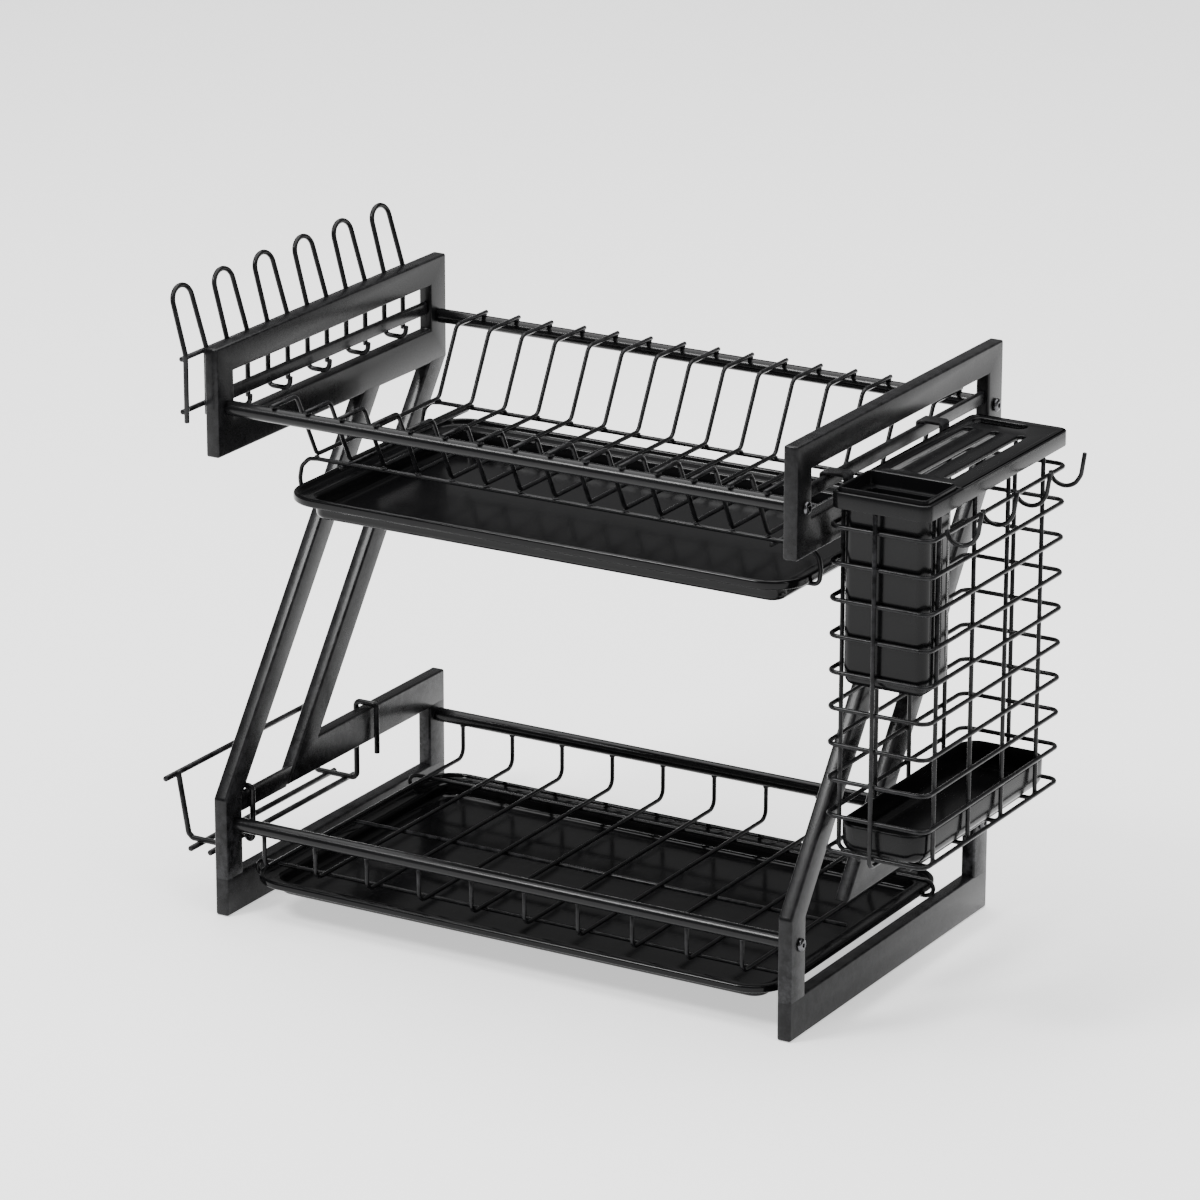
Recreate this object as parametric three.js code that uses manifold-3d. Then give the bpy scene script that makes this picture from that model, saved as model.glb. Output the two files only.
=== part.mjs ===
// Two-tier countertop dish drying rack, millimetres, +Z up.
// X runs along the front of the rack, Y runs from the front to the back.
// The design is laid out with the front left foot at x = 0, y = 0, z = 0, and the
// whole group is moved at the end so that its origin is the middle of its footprint.
import * as THREE from 'three';
import Module from 'manifold-3d';
import { mergeVertices } from 'three/addons/utils/BufferGeometryUtils.js';

const wasm = await Module();
wasm.setup();

// ---------------------------------------------------------------- driving dimensions
const GAP = 0.3;            // clearance kept between touching pieces

const W = 444;              // outside width over the two side frames
const TUBE_X = 10;          // thickness of the flat side-frame tube
const POST_Y = 20;          // depth of the posts
const D_LOW = 280;          // depth of the foot frame
const D_UP = 286;           // depth of the upper side frame
const H = 400;              // height over the upper side frame
const BASE_H = 28;          // height of the base rail
const Z_UP = 325;           // underside of the upper side frame
const UP_BOTTOM_H = 24;     // height of its lower member
const UP_TOP_H = 19;        // height of its upper member
const MID_Z0 = 360, MID_Z1 = 369;   // hooking bar across the upper window
const LEG_SLOPE = 1.36;     // rise over run of the leaning legs
const LEG_RUN = 22.3;       // width of a leaning leg measured level
const LEG_A_Z = 84;         // height where the front post bends back
const TIER_Z0 = 71, TIER_Z1 = 95;   // level run of the rear leg tube
const TIER_Y0 = 76;         // front corner of that run

const RAIL_R = 5;           // round cross rails
const RAIL_Y = 12;
const RAIL_UP_Z = 357.5, RAIL_LOW_Z = 64;
const RAIL_UP_BACK_Y = 276, RAIL_LOW_BACK_Y = 270;
const SCREW_R = 2.5, SCREW_HEAD_R = 4.6, SCREW_HEAD_H = 2.6, SCREW_LEN = 22;

const WIRE_R = 1.5;         // rack wire
const DIV_N = 15, DIV_X0 = 47, DIV_PITCH = 26.4;      // plate dividers
const DIV_TOP_Z = 364.3, DIV_BOT_Z = 318;
const VALLEY_Y0 = 62, VALLEY_Y1 = 216;
const CARRIER_Z = 314.7;

const UTRAY = { x0: 38, x1: 424, y0: 28, y1: 245, bottom: 279, flange: 291.8, top: 298, body: 14, r: 26 };
const LTRAY = { x0: 20, x1: 426, y0: 6, y1: 256, bottom: 15.5, flange: 24.4, top: 29.6, body: 13, r: 26 };
const TRAY_WALL = 2;

const BOWL_N = 10, BOWL_X0 = 32, BOWL_PITCH = 41;
const BOWL_RIM_Z = 58.5, BOWL_BOT_Z = 35.6, BOWL_CARRY_Z = 33.5;
const BOWL_Y0 = 13, BOWL_Y1 = 269;

const CUP_N = 6, CUP_Y0 = -6, CUP_PITCH = 48.5, CUP_LEG = 24, CUP_TOP_Z = 442, CUP_TOP_X = -14;
const CUP_WIRE_R = 1.75;

const BK = { x0: 455.5, x1: 527, y0: 21.5, y1: 213.5, z0: 128.6, pitch: 24.1, n: 10, top: 358 };
const BK_UPRIGHT_Y = [37, 86, 133, 183];
const KF = { x0: 457, x1: 526.8, y0: 18, y1: 217.5, z0: 358.4, z1: 369, plate: 3.2, skirt: 3 };
const CC = { x0: 463.6, x1: 522.9, y0: 23.6, y1: 60.5, z0: 240, shoulder: 360.7, top: 371.6 };
const MOUTH = { x0: 460.4, x1: 523.4, y0: 21.4, y1: 65.6 };    // flared mouth of the cutlery cup
const BT = { x0: 461, x1: 522, y0: 24.5, y1: 210.5, z0: 126.4, z1: 147 };

// ---------------------------------------------------------------- helpers
const BLACK_TUBE = { color: 0x19191b, roughness: 0.38, metalness: 0.35 };
const BLACK_WIRE = { color: 0x141416, roughness: 0.32, metalness: 0.45 };
const BLACK_PLASTIC = { color: 0x101012, roughness: 0.22, metalness: 0.0 };
const STEEL = { color: 0xb9babd, roughness: 0.3, metalness: 1.0 };

const root = new THREE.Group();

function toManifold(geometry) {
  const g = geometry.clone();
  g.deleteAttribute('normal');
  g.deleteAttribute('uv');
  const m = mergeVertices(g, 1e-4);
  return new wasm.Manifold(new wasm.Mesh({
    numProp: 3,
    vertProperties: new Float32Array(m.attributes.position.array),
    triVerts: new Uint32Array(m.index.array),
  }));
}

function toGeometry(man) {
  const mesh = man.getMesh();
  const g = new THREE.BufferGeometry();
  g.setAttribute('position', new THREE.BufferAttribute(new Float32Array(mesh.vertProperties), 3));
  g.setIndex(new THREE.BufferAttribute(new Uint32Array(mesh.triVerts), 1));
  g.computeVertexNormals();
  return g;
}

function union(list) {
  let m = list[0];
  for (let i = 1; i < list.length; i++) m = m.add(list[i]);
  return m;
}

function piece(name, man, look) {
  const mesh = new THREE.Mesh(toGeometry(man), new THREE.MeshStandardMaterial(look));
  mesh.name = name;
  root.add(mesh);
  return mesh;
}

function box(x0, x1, y0, y1, z0, z1) {
  const g = new THREE.BoxGeometry(x1 - x0, y1 - y0, z1 - z0);
  g.translate((x0 + x1) / 2, (y0 + y1) / 2, (z0 + z1) / 2);
  return toManifold(g);
}

// outline given as [y, z] corners, extruded from x0 to x1
function prismX(points, x0, x1) {
  const s = new THREE.Shape(points.map(([a, b]) => new THREE.Vector2(a, b)));
  const g = new THREE.ExtrudeGeometry(s, { depth: x1 - x0, bevelEnabled: false, steps: 1 });
  g.applyMatrix4(new THREE.Matrix4().makeBasis(
    new THREE.Vector3(0, 1, 0), new THREE.Vector3(0, 0, 1), new THREE.Vector3(1, 0, 0)));
  g.translate(x0, 0, 0);
  return toManifold(g);
}

function roundedRect(x0, x1, y0, y1, r, n = 5) {
  const pts = [];
  const corner = (cx, cy, a0) => {
    for (let i = 0; i <= n; i++) {
      const a = a0 + (i / n) * Math.PI / 2;
      pts.push(new THREE.Vector2(cx + r * Math.cos(a), cy + r * Math.sin(a)));
    }
  };
  corner(x1 - r, y1 - r, 0);
  corner(x0 + r, y1 - r, Math.PI / 2);
  corner(x0 + r, y0 + r, Math.PI);
  corner(x1 - r, y0 + r, 3 * Math.PI / 2);
  return new THREE.Shape(pts);
}

// rounded rectangle in plan, extruded upwards
function slab(x0, x1, y0, y1, r, z0, z1, n = 5) {
  const g = new THREE.ExtrudeGeometry(roundedRect(x0, x1, y0, y1, r, n), { depth: z1 - z0, bevelEnabled: false, steps: 1 });
  g.translate(0, 0, z0);
  return toManifold(g);
}

// a path through given corners, so that the swept section sits on each corner
class CornerPath extends THREE.Curve {
  constructor(points) { super(); this.p = points.map((q) => new THREE.Vector3(...q)); }
  getPointAt(u) {
    const n = this.p.length - 1;
    const i = Math.min(n, Math.round(u * n));
    return this.p[i].clone();
  }
  getPoint(t) { return this.getPointAt(t); }
  getTangentAt(u) {
    const n = this.p.length - 1;
    const i = Math.min(n, Math.round(u * n));
    const a = i > 0 ? this.p[i].clone().sub(this.p[i - 1]).normalize() : null;
    const b = i < n ? this.p[i + 1].clone().sub(this.p[i]).normalize() : null;
    const t = new THREE.Vector3();
    if (a) t.add(a);
    if (b) t.add(b);
    return t.normalize();
  }
  getTangent(t) { return this.getTangentAt(t); }
}

function section(r, n = 6, phase = Math.PI / 6) {
  const pts = [];
  for (let i = 0; i < n; i++) {
    const a = phase + (i / n) * Math.PI * 2;
    pts.push(new THREE.Vector2(r * Math.cos(a), r * Math.sin(a)));
  }
  return new THREE.Shape(pts);
}

function wire(points, r = WIRE_R, n = 6) {
  const path = new CornerPath(points);
  const g = new THREE.ExtrudeGeometry(section(r, n), { steps: points.length - 1, extrudePath: path, bevelEnabled: false });
  return toManifold(g);
}

function cylX(x0, x1, y, z, r, n = 12) {
  const g = new THREE.CylinderGeometry(r, r, x1 - x0, n);
  g.rotateZ(Math.PI / 2);
  g.translate((x0 + x1) / 2, y, z);
  return toManifold(g);
}

// ---------------------------------------------------------------- side frames
const legA = (y) => LEG_A_Z + LEG_SLOPE * y;
const legYA = (z) => (z - LEG_A_Z) / LEG_SLOPE;
const legYB = (z) => TIER_Y0 + (z - TIER_Z0) / LEG_SLOPE;

const railEnds = [
  [RAIL_Y, RAIL_UP_Z], [RAIL_UP_BACK_Y, RAIL_UP_Z], [RAIL_Y, RAIL_LOW_Z], [RAIL_LOW_BACK_Y, RAIL_LOW_Z],
];

for (const side of ['left', 'right']) {
  const x0 = side === 'left' ? 0 : W - TUBE_X;
  const x1 = x0 + TUBE_X;
  const hole = (m, y, z) => m.subtract(cylX(x0 - 1, x1 + 1, y, z, SCREW_R + GAP, 8));

  piece(side + '_base_rail', box(x0, x1, 0, D_LOW, 0, BASE_H), BLACK_TUBE);

  // front post, bent back into the front leg
  const backA = LEG_A_Z + LEG_SLOPE * (POST_Y - LEG_RUN);
  const topZ = Z_UP - GAP;
  const frontLeg = prismX([
    [0, BASE_H + GAP], [POST_Y, BASE_H + GAP], [POST_Y, backA],
    [legYA(topZ) + LEG_RUN, topZ], [legYA(topZ), topZ], [0, LEG_A_Z],
  ], x0, x1);
  piece(side + '_front_leg', hole(frontLeg, RAIL_Y, RAIL_LOW_Z), BLACK_TUBE);

  // rear leg: leaning tube bent level at its foot and run to the back
  const yTop = TIER_Y0 + LEG_RUN + (TIER_Z1 - TIER_Z0) / LEG_SLOPE;
  piece(side + '_rear_leg', prismX([
    [TIER_Y0, TIER_Z0], [D_LOW, TIER_Z0], [D_LOW, TIER_Z1], [yTop, TIER_Z1],
    [legYB(topZ) + LEG_RUN, topZ], [legYB(topZ), topZ],
  ], x0, x1), BLACK_TUBE);

  piece(side + '_rear_post',
    hole(box(x0, x1, D_LOW - POST_Y, D_LOW, BASE_H + GAP, TIER_Z0 - GAP), RAIL_LOW_BACK_Y, RAIL_LOW_Z), BLACK_TUBE);

  // upper frame: one closed loop of flat tube
  let upper = box(x0, x1, 0, D_UP, Z_UP, H)
    .subtract(box(x0 - 1, x1 + 1, POST_Y, D_UP - POST_Y, Z_UP + UP_BOTTOM_H, H - UP_TOP_H));
  upper = hole(upper, RAIL_Y, RAIL_UP_Z);
  upper = hole(upper, RAIL_UP_BACK_Y, RAIL_UP_Z);
  piece(side + '_upper_frame', upper, BLACK_TUBE);

  piece(side + '_mid_bar',
    box(x0 + 3, x0 + 7, POST_Y + GAP, D_UP - POST_Y - GAP, MID_Z0, MID_Z1), BLACK_TUBE);
}

// flat strip between the left front post and the left rear leg, which the board holder hooks on
piece('left_hook_strip', prismX([
  [POST_Y + GAP, 70], [TIER_Y0 - 1, 70], [TIER_Y0 + 6, 79.6], [TIER_Y0 + 6, 84 - 0.1], [POST_Y + 3, 84 - 0.1], [POST_Y + GAP, 80],
], 6.6, 9.6).subtract(prismX([
  [TIER_Y0 - GAP * 1.6, TIER_Z0 - GAP - 2], [TIER_Y0 + 80, TIER_Z0 - GAP - 2], [TIER_Y0 + 80, 140], [legYB(140) - GAP * 1.6, 140], [TIER_Y0 - GAP * 1.6, TIER_Z0],
], 0, 12)), BLACK_TUBE);

// ---------------------------------------------------------------- cross rails and their screws
const rails = {
  upper_front_rail: [RAIL_Y, RAIL_UP_Z], upper_back_rail: [RAIL_UP_BACK_Y, RAIL_UP_Z],
  lower_front_rail: [RAIL_Y, RAIL_LOW_Z], lower_back_rail: [RAIL_LOW_BACK_Y, RAIL_LOW_Z],
};
const RX0 = TUBE_X + GAP, RX1 = W - TUBE_X - GAP;
for (const [name, [y, z]] of Object.entries(rails)) {
  const deep = SCREW_LEN - TUBE_X + 1.5;
  const rail = cylX(RX0, RX1, y, z, RAIL_R, 12)
    .subtract(cylX(RX0 - 1, RX0 + deep, y, z, SCREW_R + GAP, 8))
    .subtract(cylX(RX1 - deep, RX1 + 1, y, z, SCREW_R + GAP, 8));
  piece(name, rail, BLACK_TUBE);
  for (const side of ['left', 'right']) {
    const out = side === 'left' ? -GAP : W + GAP;
    const s = side === 'left' ? -1 : 1;
    const span = (a, b) => [Math.min(a, b), Math.max(a, b)];
    const [h0, h1] = span(out, out + s * SCREW_HEAD_H);
    const [k0, k1] = span(out, out - s * SCREW_LEN);
    piece(side + '_' + name.replace('_rail', '') + '_screw',
      cylX(h0, h1, y, z, SCREW_HEAD_R, 10).add(cylX(k0 - 0.05, k1 + 0.05, y, z, SCREW_R, 8)), STEEL);
  }
}

// ---------------------------------------------------------------- upper plate rack
for (let i = 0; i < DIV_N; i++) {
  const x = DIV_X0 + i * DIV_PITCH;
  piece('plate_divider_' + String(i + 1).padStart(2, '0'), wire([
    [x, 8, DIV_TOP_Z], [x, 38, DIV_TOP_Z], [x, VALLEY_Y0, DIV_BOT_Z], [x, VALLEY_Y1, DIV_BOT_Z],
    [x, VALLEY_Y1 + 24, DIV_TOP_Z], [x, 280, DIV_TOP_Z],
  ]), BLACK_WIRE);
}
const mirrorX = (pts, c) => pts.map(([x, y, z]) => [2 * c - x, y, z]);
const UC = (UTRAY.x0 + UTRAY.x1) / 2;
function loopedWire(y, zTop, loop, c) {
  const left = loop.map(([x, z]) => [x, y, z]);
  const right = mirrorX(left, c).reverse();
  return wire([...left, ...right]);
}
// the ends of two long wires turn down and back under, and carry the tray's flange
const upperLoop = [[51, 289.9], [37, 289.9], [34.2, 292.4], [33.3, 299.5], [34.8, 308], [40.5, 313.8], [48, CARRIER_Z]];
piece('plate_rack_carrier', union([
  loopedWire(VALLEY_Y0, CARRIER_Z, upperLoop, UC),
  loopedWire(VALLEY_Y1, CARRIER_Z, upperLoop, UC),
  wire([[62, 139, CARRIER_Z], [2 * UC - 62, 139, CARRIER_Z]]),
  wire([[68, VALLEY_Y0 - 3, CARRIER_Z - 2.1], [68, VALLEY_Y1 + 3, CARRIER_Z - 2.1]]),
  wire([[2 * UC - 68, VALLEY_Y0 - 3, CARRIER_Z - 2.1], [2 * UC - 68, VALLEY_Y1 + 3, CARRIER_Z - 2.1]]),
]), BLACK_WIRE);

// ---------------------------------------------------------------- drip trays
function dripTray(t) {
  const b = t.body;
  const bead = 3.2;
  let m = slab(t.x0, t.x1, t.y0, t.y1, t.r, t.flange, t.top);
  m = m.subtract(slab(t.x0 + bead, t.x1 - bead, t.y0 + bead, t.y1 - bead, t.r - bead, t.flange + 2.6, t.top + 1));
  m = m.add(slab(t.x0 + b, t.x1 - b, t.y0 + b, t.y1 - b, t.r - b * 0.5, t.bottom, t.flange + 1));
  m = m.subtract(slab(t.x0 + b + TRAY_WALL, t.x1 - b - TRAY_WALL, t.y0 + b + TRAY_WALL, t.y1 - b - TRAY_WALL,
    t.r - b * 0.5 - TRAY_WALL, t.bottom + TRAY_WALL, t.top + 1));
  return m;
}
piece('upper_drip_tray', dripTray(UTRAY), BLACK_PLASTIC);
piece('lower_drip_tray', dripTray(LTRAY), BLACK_PLASTIC);

// ---------------------------------------------------------------- lower bowl rack
const LC = (LTRAY.x0 + LTRAY.x1) / 2;
const lowerLoop = [[30, 22.5], [20.5, 22.5], [16.3, 24.1], [14.4, 28], [16.2, 31.9], [20.6, BOWL_CARRY_Z], [30, BOWL_CARRY_Z]];
const bowl = [];
for (let i = 0; i < BOWL_N; i++) {
  const x = BOWL_X0 + i * BOWL_PITCH;
  bowl.push(wire([[x, BOWL_Y0, BOWL_RIM_Z], [x, BOWL_Y0, BOWL_BOT_Z], [x, BOWL_Y1, BOWL_BOT_Z], [x, BOWL_Y1, BOWL_RIM_Z]]));
}
bowl.push(loopedWire(30, BOWL_CARRY_Z, lowerLoop, LC));
bowl.push(wire([[28.4, 125, BOWL_CARRY_Z + 0.05], [417.6, 125, BOWL_CARRY_Z + 0.05]]));
bowl.push(loopedWire(225, BOWL_CARRY_Z, lowerLoop, LC));
piece('bowl_rack', union(bowl), BLACK_WIRE);

// ---------------------------------------------------------------- glass and mug holder on the left
const cup = [];
const LEGX = -2.35;
for (let i = 0; i < CUP_N; i++) {
  const c = CUP_Y0 + i * CUP_PITCH, h = CUP_LEG / 2;
  const up = [
    [LEGX, c + h, 353], [LEGX, c + h, 399], [CUP_TOP_X + 2, c + h - 1, CUP_TOP_Z - 9], [CUP_TOP_X + 0.5, c + h * 0.6, CUP_TOP_Z - 2.5],
    [CUP_TOP_X, c, CUP_TOP_Z],
    [CUP_TOP_X + 0.5, c - h * 0.6, CUP_TOP_Z - 2.5], [CUP_TOP_X + 2, c - h + 1, CUP_TOP_Z - 9], [LEGX, c - h, 399],
  ];
  if (i > 0) up.push([LEGX, c - h, 357], [0.5, c - h, 354.6], [12, c - h, 354.6], [15, c - h, 357.5], [15.4, c - h, 362.5]);
  else up.push([LEGX, c - h, 353]);
  cup.push(wire(up, CUP_WIRE_R));
}
const cy0 = CUP_Y0 - CUP_LEG / 2 - 2, cy1 = CUP_Y0 + (CUP_N - 1) * CUP_PITCH + CUP_LEG / 2 + 2;
cup.push(wire([[LEGX - 2.6, cy0, 396], [LEGX - 2.6, cy1, 396]], CUP_WIRE_R));
cup.push(wire([[LEGX - 2.6, cy0, 360], [LEGX - 2.6, cy1, 360]], CUP_WIRE_R));
piece('cup_holder', union(cup), BLACK_WIRE);

// ---------------------------------------------------------------- cutting-board holder on the left
const BH_Y0 = 27, BH_Y1 = 184, BH_R = 2;
const arm = (y, zHook, inner) => wire([
  ...inner.map(([x, z]) => [x, y, z]), [13.6, y, zHook - 1.6], [11.4, y, zHook], [-1, y, zHook], [-3.4, y, zHook - 2], [-3.4, y, 43], [-6, y, 40], [-36, y, 40],
  [-39.4, y, 43], [-47, y, 86],
], BH_R);
piece('board_holder', union([
  arm(BH_Y0, 86.6, [[7.6, 53.5], [8.8, 49.4], [11.2, 48], [13, 50], [13.6, 54]]), arm(BH_Y1, 97.6, [[13.6, 62]]),
  wire([[-14, BH_Y0 - 12, 37.0], [-14, BH_Y1 + 12, 37.0]], BH_R),
  wire([[-30, BH_Y0 - 12, 37.0], [-30, BH_Y1 + 12, 37.0]], BH_R),
  wire([[-49.4, BH_Y0 - 12, 84], [-49.4, BH_Y1 + 12, 84]], BH_R),
]), BLACK_WIRE);

// ---------------------------------------------------------------- utensil basket on the right
const ringZ = [];
for (let i = 0; i < BK.n; i++) ringZ.push(BK.z0 + i * BK.pitch);
const R = WIRE_R;
const sidePanel = (x, xu) => union([
  ...ringZ.map((z) => wire([[x, BK.y0 - R, z], [x, BK.y1 + R, z]])),
  ...BK_UPRIGHT_Y.map((y) => wire([[xu, y, BK.z0 - 1.6], [xu, y, BK.top]])),
]);
const endPanel = (y, yu) => union([
  ...ringZ.map((z) => wire([[BK.x0 + R + GAP, y, z], [BK.x1 - R - GAP, y, z]])),
  wire([[489, yu, BK.z0 - 1.6], [489, yu, BK.top]]),
]);
piece('basket_left_panel', sidePanel(BK.x0, BK.x0 + 2.1), BLACK_WIRE);
piece('basket_right_panel', sidePanel(BK.x1, BK.x1 - 2.1), BLACK_WIRE);
piece('basket_front_panel', endPanel(BK.y0, BK.y0 - 2.1), BLACK_WIRE);
piece('basket_back_panel', endPanel(BK.y1, BK.y1 + 2.1), BLACK_WIRE);
piece('basket_floor', union([
  ...BK_UPRIGHT_Y.map((y) => wire([[BK.x0 - 1, y, 124.4], [BK.x1 + 1, y, 124.4]])),
  wire([[475, 31, 122.3], [475, 189, 122.3]]),
  wire([[511, 31, 122.3], [511, 189, 122.3]]),
]), BLACK_WIRE);

// flat hangers that drop over the right hooking bar
const HX = BK.x0 - R - GAP - 2;
const hanger = (y) => union([
  box(HX, HX + 2, y - 6, y + 6, 300, MID_Z1 + GAP + 2),
  box(W - 9.4, HX + 1, y - 6, y + 6, MID_Z1 + GAP, MID_Z1 + GAP + 2),
  box(W - 9.4, W - 7.4, y - 6, y + 6, 361, MID_Z1 + GAP + 1.5),
]);
piece('basket_front_hanger', hanger(52), BLACK_TUBE);
piece('basket_back_hanger', hanger(184), BLACK_TUBE);

// hooks that stand out from the top wire of the basket
BK_UPRIGHT_Y.forEach((y, i) => {
  const x = BK.x1 + R + GAP + R;
  piece('utensil_hook_' + (i + 1), wire([
    [x, y, 350], [x + 0.8, y, 346], [x + 4.6, y, 342.6], [x + 11, y, 341.4], [x + 17.5, y, 344], [x + 21.6, y, 350.5], [x + 24, y, 366],
  ]), BLACK_WIRE);
});

// plastic top frame: cutlery opening at the front, knife slots, scissor slot at the back
{
  let m = slab(KF.x0, KF.x1, KF.y0, KF.y1, 7, KF.z0, KF.z1, 3);
  m = m.subtract(slab(KF.x0 + KF.skirt, KF.x1 - KF.skirt, 68, KF.y1 - KF.skirt, 4.5, KF.z0 - 1, KF.z1 - KF.plate, 3));
  m = m.subtract(slab(MOUTH.x0 - 0.4, MOUTH.x1 + 0.4, MOUTH.y0 - 0.4, MOUTH.y1 + 0.4, 4.5, KF.z0 + 2, 380, 3));   // pocket of the cup
  m = m.subtract(slab(CC.x0 - 0.4, CC.x1 + 0.4, CC.y0 - 0.4, CC.y1 + 0.4, 7.4, 340, KF.z0 + 3, 3));               // ledge it hangs on
  for (const x of [470, 489, 508]) m = m.subtract(slab(x - 3, x + 3, 80, 187, 2.9, 340, 380, 3));
  m = m.subtract(slab(463, 502, 199, 210, 5.2, 340, 380, 3));
  piece('knife_frame', m, BLACK_PLASTIC);
}
// cutlery cup: its flared mouth stands in the opening of the frame, its shoulder on the wires
{
  let m = slab(CC.x0, CC.x1, CC.y0, CC.y1, 7, CC.z0 + 6, CC.shoulder + 1, 3)
    .add(slab(CC.x0 + 4, CC.x1 - 4, CC.y0 + 4, CC.y1 - 4, 5, CC.z0, CC.z0 + 7, 3))
    .add(slab(MOUTH.x0, MOUTH.x1, MOUTH.y0, MOUTH.y1, 4.2, CC.shoulder, CC.top, 3));
  m = m.subtract(slab(MOUTH.x0 + 1.8, MOUTH.x1 - 1.8, MOUTH.y0 + 1.8, MOUTH.y1 - 1.8, 2.6, CC.shoulder + 1.8, CC.top + 1, 3));
  m = m.subtract(slab(CC.x0 + 2, CC.x1 - 2, CC.y0 + 2, CC.y1 - 2, 5.2, CC.z0 + 7.5, CC.top + 2, 3));
  m = m.subtract(slab(CC.x0 + 6, CC.x1 - 6, CC.y0 + 6, CC.y1 - 6, 3.5, CC.z0 + 2, CC.z0 + 9, 3));
  piece('cutlery_cup', m, BLACK_PLASTIC);
}
// small drip tray in the bottom of the basket
{
  let m = slab(BT.x0, BT.x1, BT.y0, BT.y1, 14, BT.z0 + 4, BT.z1, 4)
    .add(slab(BT.x0 + 4, BT.x1 - 4, BT.y0 + 4, BT.y1 - 4, 11, BT.z0, BT.z0 + 5, 4));
  m = m.subtract(slab(BT.x0 + 2, BT.x1 - 2, BT.y0 + 2, BT.y1 - 2, 12, BT.z0 + 6, BT.z1 + 1, 4));
  m = m.subtract(slab(BT.x0 + 6, BT.x1 - 6, BT.y0 + 6, BT.y1 - 6, 9, BT.z0 + 2, BT.z0 + 7, 4));
  piece('basket_drip_tray', m, BLACK_PLASTIC);
}

// ---------------------------------------------------------------- origin at the middle of the footprint
const bounds = new THREE.Box3().setFromObject(root);
root.position.set(-(bounds.min.x + bounds.max.x) / 2, -(bounds.min.y + bounds.max.y) / 2, -bounds.min.z);
root.updateMatrixWorld(true);

export default root;
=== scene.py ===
import math
import bpy
import bmesh
from mathutils import Matrix, Vector


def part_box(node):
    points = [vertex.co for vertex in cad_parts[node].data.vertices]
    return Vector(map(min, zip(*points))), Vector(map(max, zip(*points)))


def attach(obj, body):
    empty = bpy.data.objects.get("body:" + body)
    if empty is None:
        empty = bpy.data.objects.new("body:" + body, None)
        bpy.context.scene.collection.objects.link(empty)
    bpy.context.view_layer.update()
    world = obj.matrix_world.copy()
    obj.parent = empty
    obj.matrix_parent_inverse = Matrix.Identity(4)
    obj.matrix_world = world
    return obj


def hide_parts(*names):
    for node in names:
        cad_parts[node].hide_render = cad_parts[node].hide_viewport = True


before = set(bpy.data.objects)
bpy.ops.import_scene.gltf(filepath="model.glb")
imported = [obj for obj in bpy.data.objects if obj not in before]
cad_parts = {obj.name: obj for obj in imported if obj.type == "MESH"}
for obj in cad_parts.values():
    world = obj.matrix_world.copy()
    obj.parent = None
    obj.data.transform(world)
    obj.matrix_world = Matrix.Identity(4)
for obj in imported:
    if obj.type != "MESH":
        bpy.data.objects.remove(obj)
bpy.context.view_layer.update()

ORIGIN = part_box("left_base_rail")[0]          # design point (0, 0, 0), front left foot


def D(x, y, z):
    """A point given in design millimetres, in the row frame in metres."""
    return Vector((ORIGIN[0] + x / 1000, ORIGIN[1] + y / 1000, ORIGIN[2] + z / 1000))


# ------------------------------------------------------------------ dimensions, as in the CAD
W, TUBE_X, POST_Y = 444.0, 10.0, 20.0
D_LOW, D_UP, H, BASE_H = 280.0, 286.0, 400.0, 28.0
Z_UP, UP_BOTTOM_H, UP_TOP_H = 325.0, 24.0, 19.0
MID_Z0, MID_Z1 = 360.0, 369.0
SLOPE, RUN, LEG_A_Z = 1.36, 22.3, 84.0
TIER_Z0, TIER_Z1, TIER_Y0 = 71.0, 95.0, 76.0
GAP = 0.3
RAILS = {"upper_front_rail": (12, 357.5), "upper_back_rail": (276, 357.5),
         "lower_front_rail": (12, 64), "lower_back_rail": (270, 64)}
WR = 1.5


# ------------------------------------------------------------------ node helpers
def tree(name):
    m = bpy.data.materials.new(name)
    m.use_nodes = True
    t = m.node_tree
    t.nodes.clear()
    out = t.nodes.new("ShaderNodeOutputMaterial")
    b = t.nodes.new("ShaderNodeBsdfPrincipled")
    t.links.new(b.outputs[0], out.inputs[0])
    return m, t, b


def noise(t, co, scale, detail=3.0, rough=0.55, distortion=0.0):
    n = t.nodes.new("ShaderNodeTexNoise")
    n.inputs["Scale"].default_value = scale
    n.inputs["Detail"].default_value = detail
    n.inputs["Roughness"].default_value = rough
    n.inputs["Distortion"].default_value = distortion
    t.links.new(co, n.inputs["Vector"])
    return n.outputs["Fac"]


def span(t, fac, a0, a1, b0, b1):
    n = t.nodes.new("ShaderNodeMapRange")
    n.inputs["From Min"].default_value = a0
    n.inputs["From Max"].default_value = a1
    n.inputs["To Min"].default_value = b0
    n.inputs["To Max"].default_value = b1
    t.links.new(fac, n.inputs["Value"])
    return n.outputs["Result"]


def math2(t, op, a, b):
    n = t.nodes.new("ShaderNodeMath")
    n.operation = op
    for i, v in enumerate((a, b)):
        if isinstance(v, (int, float)):
            n.inputs[i].default_value = v
        else:
            t.links.new(v, n.inputs[i])
    return n.outputs[0]


def mixc(t, fac, a, b):
    n = t.nodes.new("ShaderNodeMix")
    n.data_type = "RGBA"
    t.links.new(fac, n.inputs["Factor"])
    for k, v in ((6, a), (7, b)):
        if isinstance(v, tuple):
            n.inputs[k].default_value = v
        else:
            t.links.new(v, n.inputs[k])
    return n.outputs[2]


def bump(t, height, strength, dist):
    n = t.nodes.new("ShaderNodeBump")
    n.inputs["Strength"].default_value = strength
    n.inputs["Distance"].default_value = dist
    t.links.new(height, n.inputs["Height"])
    return n


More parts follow.
